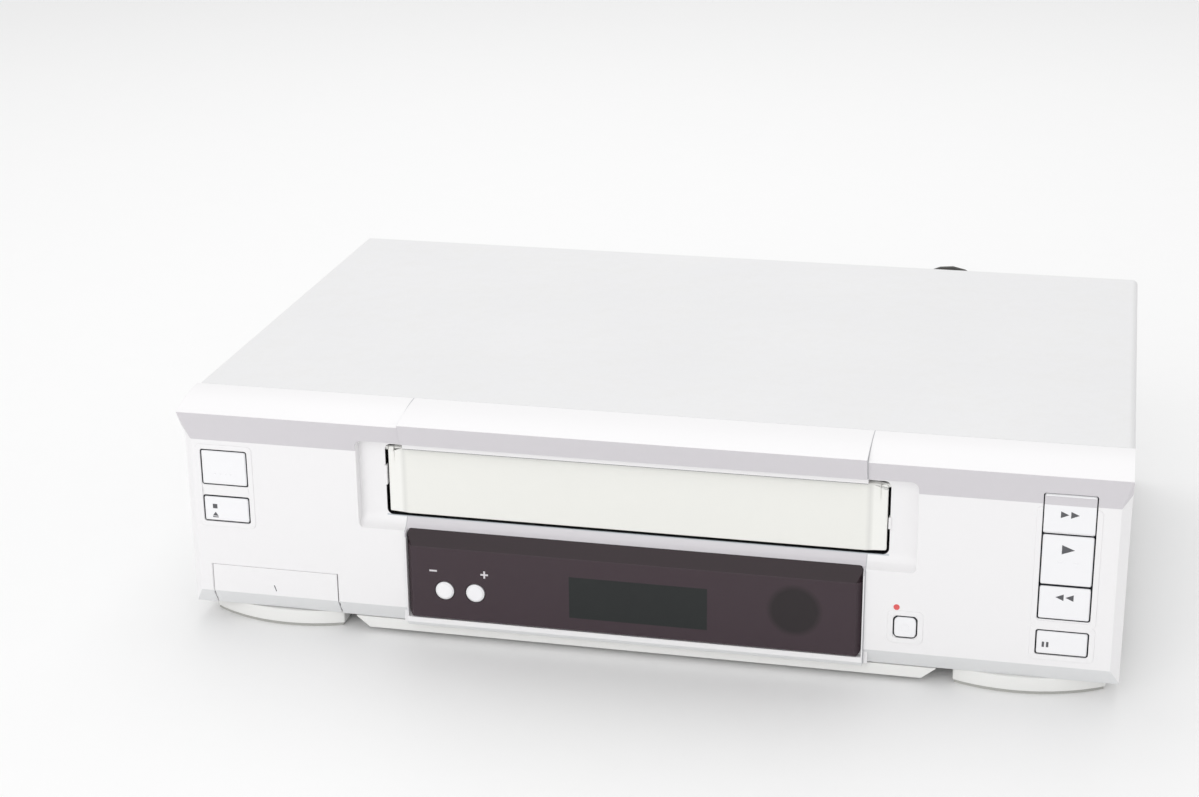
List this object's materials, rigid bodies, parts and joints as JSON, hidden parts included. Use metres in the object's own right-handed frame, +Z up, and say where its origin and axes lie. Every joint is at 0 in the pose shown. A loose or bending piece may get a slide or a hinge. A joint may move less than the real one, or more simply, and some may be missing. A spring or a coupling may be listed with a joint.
{
  "type": "video cassette recorder",
  "caption": "Front-loading video cassette recorder with a hinged cassette door, push buttons, a smoked display window, a hinged socket door, and the tape transport inside.",
  "frame": {"origin": "On the surface that the recorder stands on, under the middle of the case without its cord", "axes": "+X to the viewer's right as the front is faced, -Y out of the front, +Z up"},
  "size_m": [0.36, 0.3486, 0.094],
  "materials": {
    "cover": "satin, fine grain",
    "screws": "plated",
    "front": "satin moulded",
    "pan": "satin moulded",
    "pads": "matte",
    "back_panel": "zinc plated",
    "window": "tinted, polished",
    "tube": "dark glass",
    "black_moulding": "satin moulded",
    "front_circuit": "board",
    "grey_moulding": "satin moulded",
    "gilt": "plated",
    "plated_steel": "zinc plated",
    "socket_metal": "plated",
    "circuit": "board",
    "brown_circuit": "board",
    "dark_parts": "matte",
    "bush_rubber": "matte",
    "cord": "matte",
    "plug": "matte",
    "drum": "turned",
    "bearing": "sintered",
    "heads": "lapped",
    "guide_steel": "polished",
    "belt": "ground",
    "flap": "satin moulded",
    "caps": "satin moulded",
    "white_gear": "moulded"
  },
  "bodies": {
    "case": {"top_cover": "cover", "case_screws": "screws", "front_bezel": "front", "bottom_pan": "pan", "feet": "pan", "foot_pads": "pads", "rear_panel": "back_panel", "display_window": "window", "display_tube": "tube", "remote_receiver": "black_moulding", "front_board": "front_circuit", "push_switches": "black_moulding", "jack_panel": "grey_moulding", "front_jacks": "gilt", "rear_jacks": "black_moulding", "tuner_can": "plated_steel", "antenna_sockets": "socket_metal", "main_board": "circuit", "power_board": "brown_circuit", "power_parts": "dark_parts", "cord_bush": "bush_rubber", "power_cord_run": "cord", "power_cord_coil": "cord", "power_cord_tail": "cord", "power_plug": "plug", "deck_plate": "plated_steel", "left_bracket": "plated_steel", "right_bracket": "plated_steel", "lower_drum": "drum", "capstan_housing": "bearing", "erase_head": "heads", "control_head": "heads", "guide_posts": "guide_steel", "loading_motor": "dark_parts", "drive_belt": "belt"},
    "cassette_door": {"cassette_door": "flap"},
    "jack_door": {"jack_door": "front"},
    "power_button": {"power_button": "caps"},
    "stop_eject_button": {"stop_eject_button": "caps"},
    "fast_forward_button": {"fast_forward_button": "caps"},
    "play_button": {"play_button": "caps"},
    "rewind_button": {"rewind_button": "caps"},
    "pause_button": {"pause_button": "caps"},
    "record_button": {"record_button": "caps"},
    "channel_down_button": {"channel_down_button": "caps"},
    "channel_up_button": {"channel_up_button": "caps"},
    "tray_carriage": {"tray_carriage": "plated_steel"},
    "cassette_tray": {"cassette_tray": "plated_steel"},
    "upper_drum": {"upper_drum": "drum"},
    "capstan_shaft": {"capstan_shaft": "guide_steel"},
    "clutch_pulley": {"clutch_pulley": "white_gear"},
    "idler_arm": {"idler_arm": "plated_steel"},
    "idler_wheel": {"idler_wheel": "belt"},
    "supply_reel": {"supply_reel": "white_gear"},
    "takeup_reel": {"takeup_reel": "white_gear"},
    "pinch_arm": {"pinch_arm": "plated_steel"},
    "pinch_roller": {"pinch_roller": "belt"},
    "supply_guide": {"supply_guide": "guide_steel"},
    "takeup_guide": {"takeup_guide": "guide_steel"},
    "cam_gear": {"cam_gear": "white_gear"}
  },
  "joints": [
    {"name": "cassette_door_hinge", "type": "hinge", "parent": "case", "child": "cassette_door", "pos_m": [-0.0022, -0.1103, 0.0782], "axis": [1, 0, 0], "range_deg": [0, 88], "stiffness_Nm_per_rad": 0.02, "springref_deg": -17.19},
    {"name": "jack_door_hinge", "type": "hinge", "parent": "case", "child": "jack_door", "pos_m": [-0.1452, -0.1123, 0.0102], "axis": [1, 0, 0], "range_deg": [0, 85]},
    {"name": "power_button_press", "type": "slide", "parent": "case", "child": "power_button", "axis": [0, 1, 0], "range_m": [0, 0.0006], "stiffness_N_per_m": 400},
    {"name": "stop_eject_button_press", "type": "slide", "parent": "case", "child": "stop_eject_button", "axis": [0, 1, 0], "range_m": [0, 0.0006], "stiffness_N_per_m": 400},
    {"name": "fast_forward_button_press", "type": "slide", "parent": "case", "child": "fast_forward_button", "axis": [0, 1, 0], "range_m": [0, 0.0006], "stiffness_N_per_m": 400},
    {"name": "play_button_press", "type": "slide", "parent": "case", "child": "play_button", "axis": [0, 1, 0], "range_m": [0, 0.0006], "stiffness_N_per_m": 400},
    {"name": "rewind_button_press", "type": "slide", "parent": "case", "child": "rewind_button", "axis": [0, 1, 0], "range_m": [0, 0.0006], "stiffness_N_per_m": 400},
    {"name": "pause_button_press", "type": "slide", "parent": "case", "child": "pause_button", "axis": [0, 1, 0], "range_m": [0, 0.0006], "stiffness_N_per_m": 400},
    {"name": "record_button_press", "type": "slide", "parent": "case", "child": "record_button", "axis": [0, 1, 0], "range_m": [0, 0.0006], "stiffness_N_per_m": 400},
    {"name": "channel_down_button_press", "type": "slide", "parent": "case", "child": "channel_down_button", "axis": [0, 1, 0], "range_m": [0, 0.0006], "stiffness_N_per_m": 400},
    {"name": "channel_up_button_press", "type": "slide", "parent": "case", "child": "channel_up_button", "axis": [0, 1, 0], "range_m": [0, 0.0006], "stiffness_N_per_m": 400},
    {"name": "tray_carriage_slide", "type": "slide", "parent": "case", "child": "tray_carriage", "axis": [0, 1, 0], "range_m": [0, 0.058]},
    {"name": "cassette_tray_drop", "type": "slide", "parent": "tray_carriage", "child": "cassette_tray", "axis": [0, 0, -1], "range_m": [0, 0.02]},
    {"name": "drum_spin", "type": "hinge", "parent": "case", "child": "upper_drum", "pos_m": [-0.0022, 0.0641, 0.031], "axis": [0, 0.1045, 0.9945], "continuous": true},
    {"name": "capstan_spin", "type": "hinge", "parent": "case", "child": "capstan_shaft", "pos_m": [0.0598, 0.0243, 0.02], "axis": [0, 0, 1], "continuous": true},
    {"name": "clutch_spin", "type": "hinge", "parent": "case", "child": "clutch_pulley", "pos_m": [-0.0022, -0.0237, 0.02], "axis": [0, 0, 1], "continuous": true},
    {"name": "idler_swing", "type": "hinge", "parent": "case", "child": "idler_arm", "pos_m": [-0.0022, -0.0237, 0.0324], "axis": [0, 0, 1], "range_deg": [-29, 29]},
    {"name": "idler_wheel_spin", "type": "hinge", "parent": "idler_arm", "child": "idler_wheel", "pos_m": [-0.0022, -0.0457, 0.0305], "axis": [0, 0, 1], "continuous": true},
    {"name": "supply_reel_spin", "type": "hinge", "parent": "case", "child": "supply_reel", "pos_m": [-0.0482, -0.0437, 0.03], "axis": [0, 0, 1], "continuous": true},
    {"name": "takeup_reel_spin", "type": "hinge", "parent": "case", "child": "takeup_reel", "pos_m": [0.0438, -0.0437, 0.03], "axis": [0, 0, 1], "continuous": true},
    {"name": "cam_turn", "type": "hinge", "parent": "case", "child": "cam_gear", "pos_m": [0.0758, 0.0763, 0.03], "axis": [0, 0, 1], "range_deg": [0, 170]},
    {"name": "pinch_arm_swing", "type": "hinge", "parent": "case", "child": "pinch_arm", "pos_m": [0.0858, 0.0303, 0.045], "axis": [0, 0, 1], "range_deg": [-20, 0]},
    {"name": "pinch_roller_spin", "type": "hinge", "parent": "pinch_arm", "child": "pinch_roller", "pos_m": [0.06987, 0.00979, 0.043], "axis": [0, 0, 1], "continuous": true},
    {"name": "supply_guide_slide", "type": "slide", "parent": "case", "child": "supply_guide", "axis": [-0.4084, 0.9128, 0], "range_m": [0, 0.04163]},
    {"name": "takeup_guide_slide", "type": "slide", "parent": "case", "child": "takeup_guide", "axis": [0.4084, 0.9128, 0], "range_m": [0, 0.04163]}
  ],
  "couplings": [
    {"joint": "clutch_spin", "follows": "capstan_spin", "ratio": 0.5},
    {"joint": "idler_wheel_spin", "follows": "capstan_spin", "ratio": -0.48636},
    {"joint": "pinch_arm_swing", "follows": "cam_turn", "ratio": -0.11765},
    {"joint": "supply_guide_slide", "follows": "cam_turn", "m_per_rad": 0.01403},
    {"joint": "takeup_guide_slide", "follows": "cam_turn", "m_per_rad": 0.01403}
  ]
}
